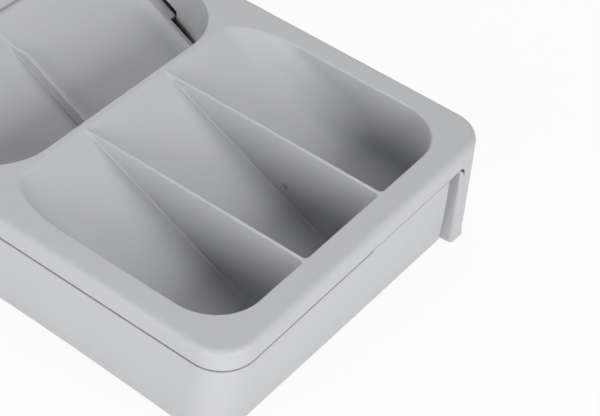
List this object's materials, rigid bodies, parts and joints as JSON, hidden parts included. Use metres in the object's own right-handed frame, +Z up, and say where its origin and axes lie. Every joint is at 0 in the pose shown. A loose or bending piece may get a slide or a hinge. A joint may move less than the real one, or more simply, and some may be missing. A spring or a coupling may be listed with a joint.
{
  "type": "expandable cutlery tray",
  "caption": "Moulded cutlery tray for a kitchen drawer: sloping compartments in two rows, over a lower tray that slides out to the left to widen it.",
  "frame": {"origin": "on the drawer floor under the middle of the closed tray", "axes": "+X to the right, away from the side where the lower tray comes out; +Y to the back of the drawer; +Z up"},
  "size_m": [0.2936, 0.371, 0.08],
  "materials": {
    "tray_plastic": "light grey, smooth, between matt and satin",
    "foot_rubber": "soft, matt"
  },
  "bodies": {
    "tray": {"upper_tray": "tray_plastic", "back_row_insert": "tray_plastic", "upper_foot_front": "foot_rubber", "upper_foot_back": "foot_rubber"},
    "extension": {"lower_tray": "tray_plastic", "lower_foot_front_left": "foot_rubber", "lower_foot_front_right": "foot_rubber", "lower_foot_back_left": "foot_rubber", "lower_foot_back_right": "foot_rubber"}
  },
  "joints": [
    {"name": "extension_slide", "type": "slide", "parent": "tray", "child": "extension", "axis": [-1, 0, 0], "range_m": [0, 0.195]}
  ]
}
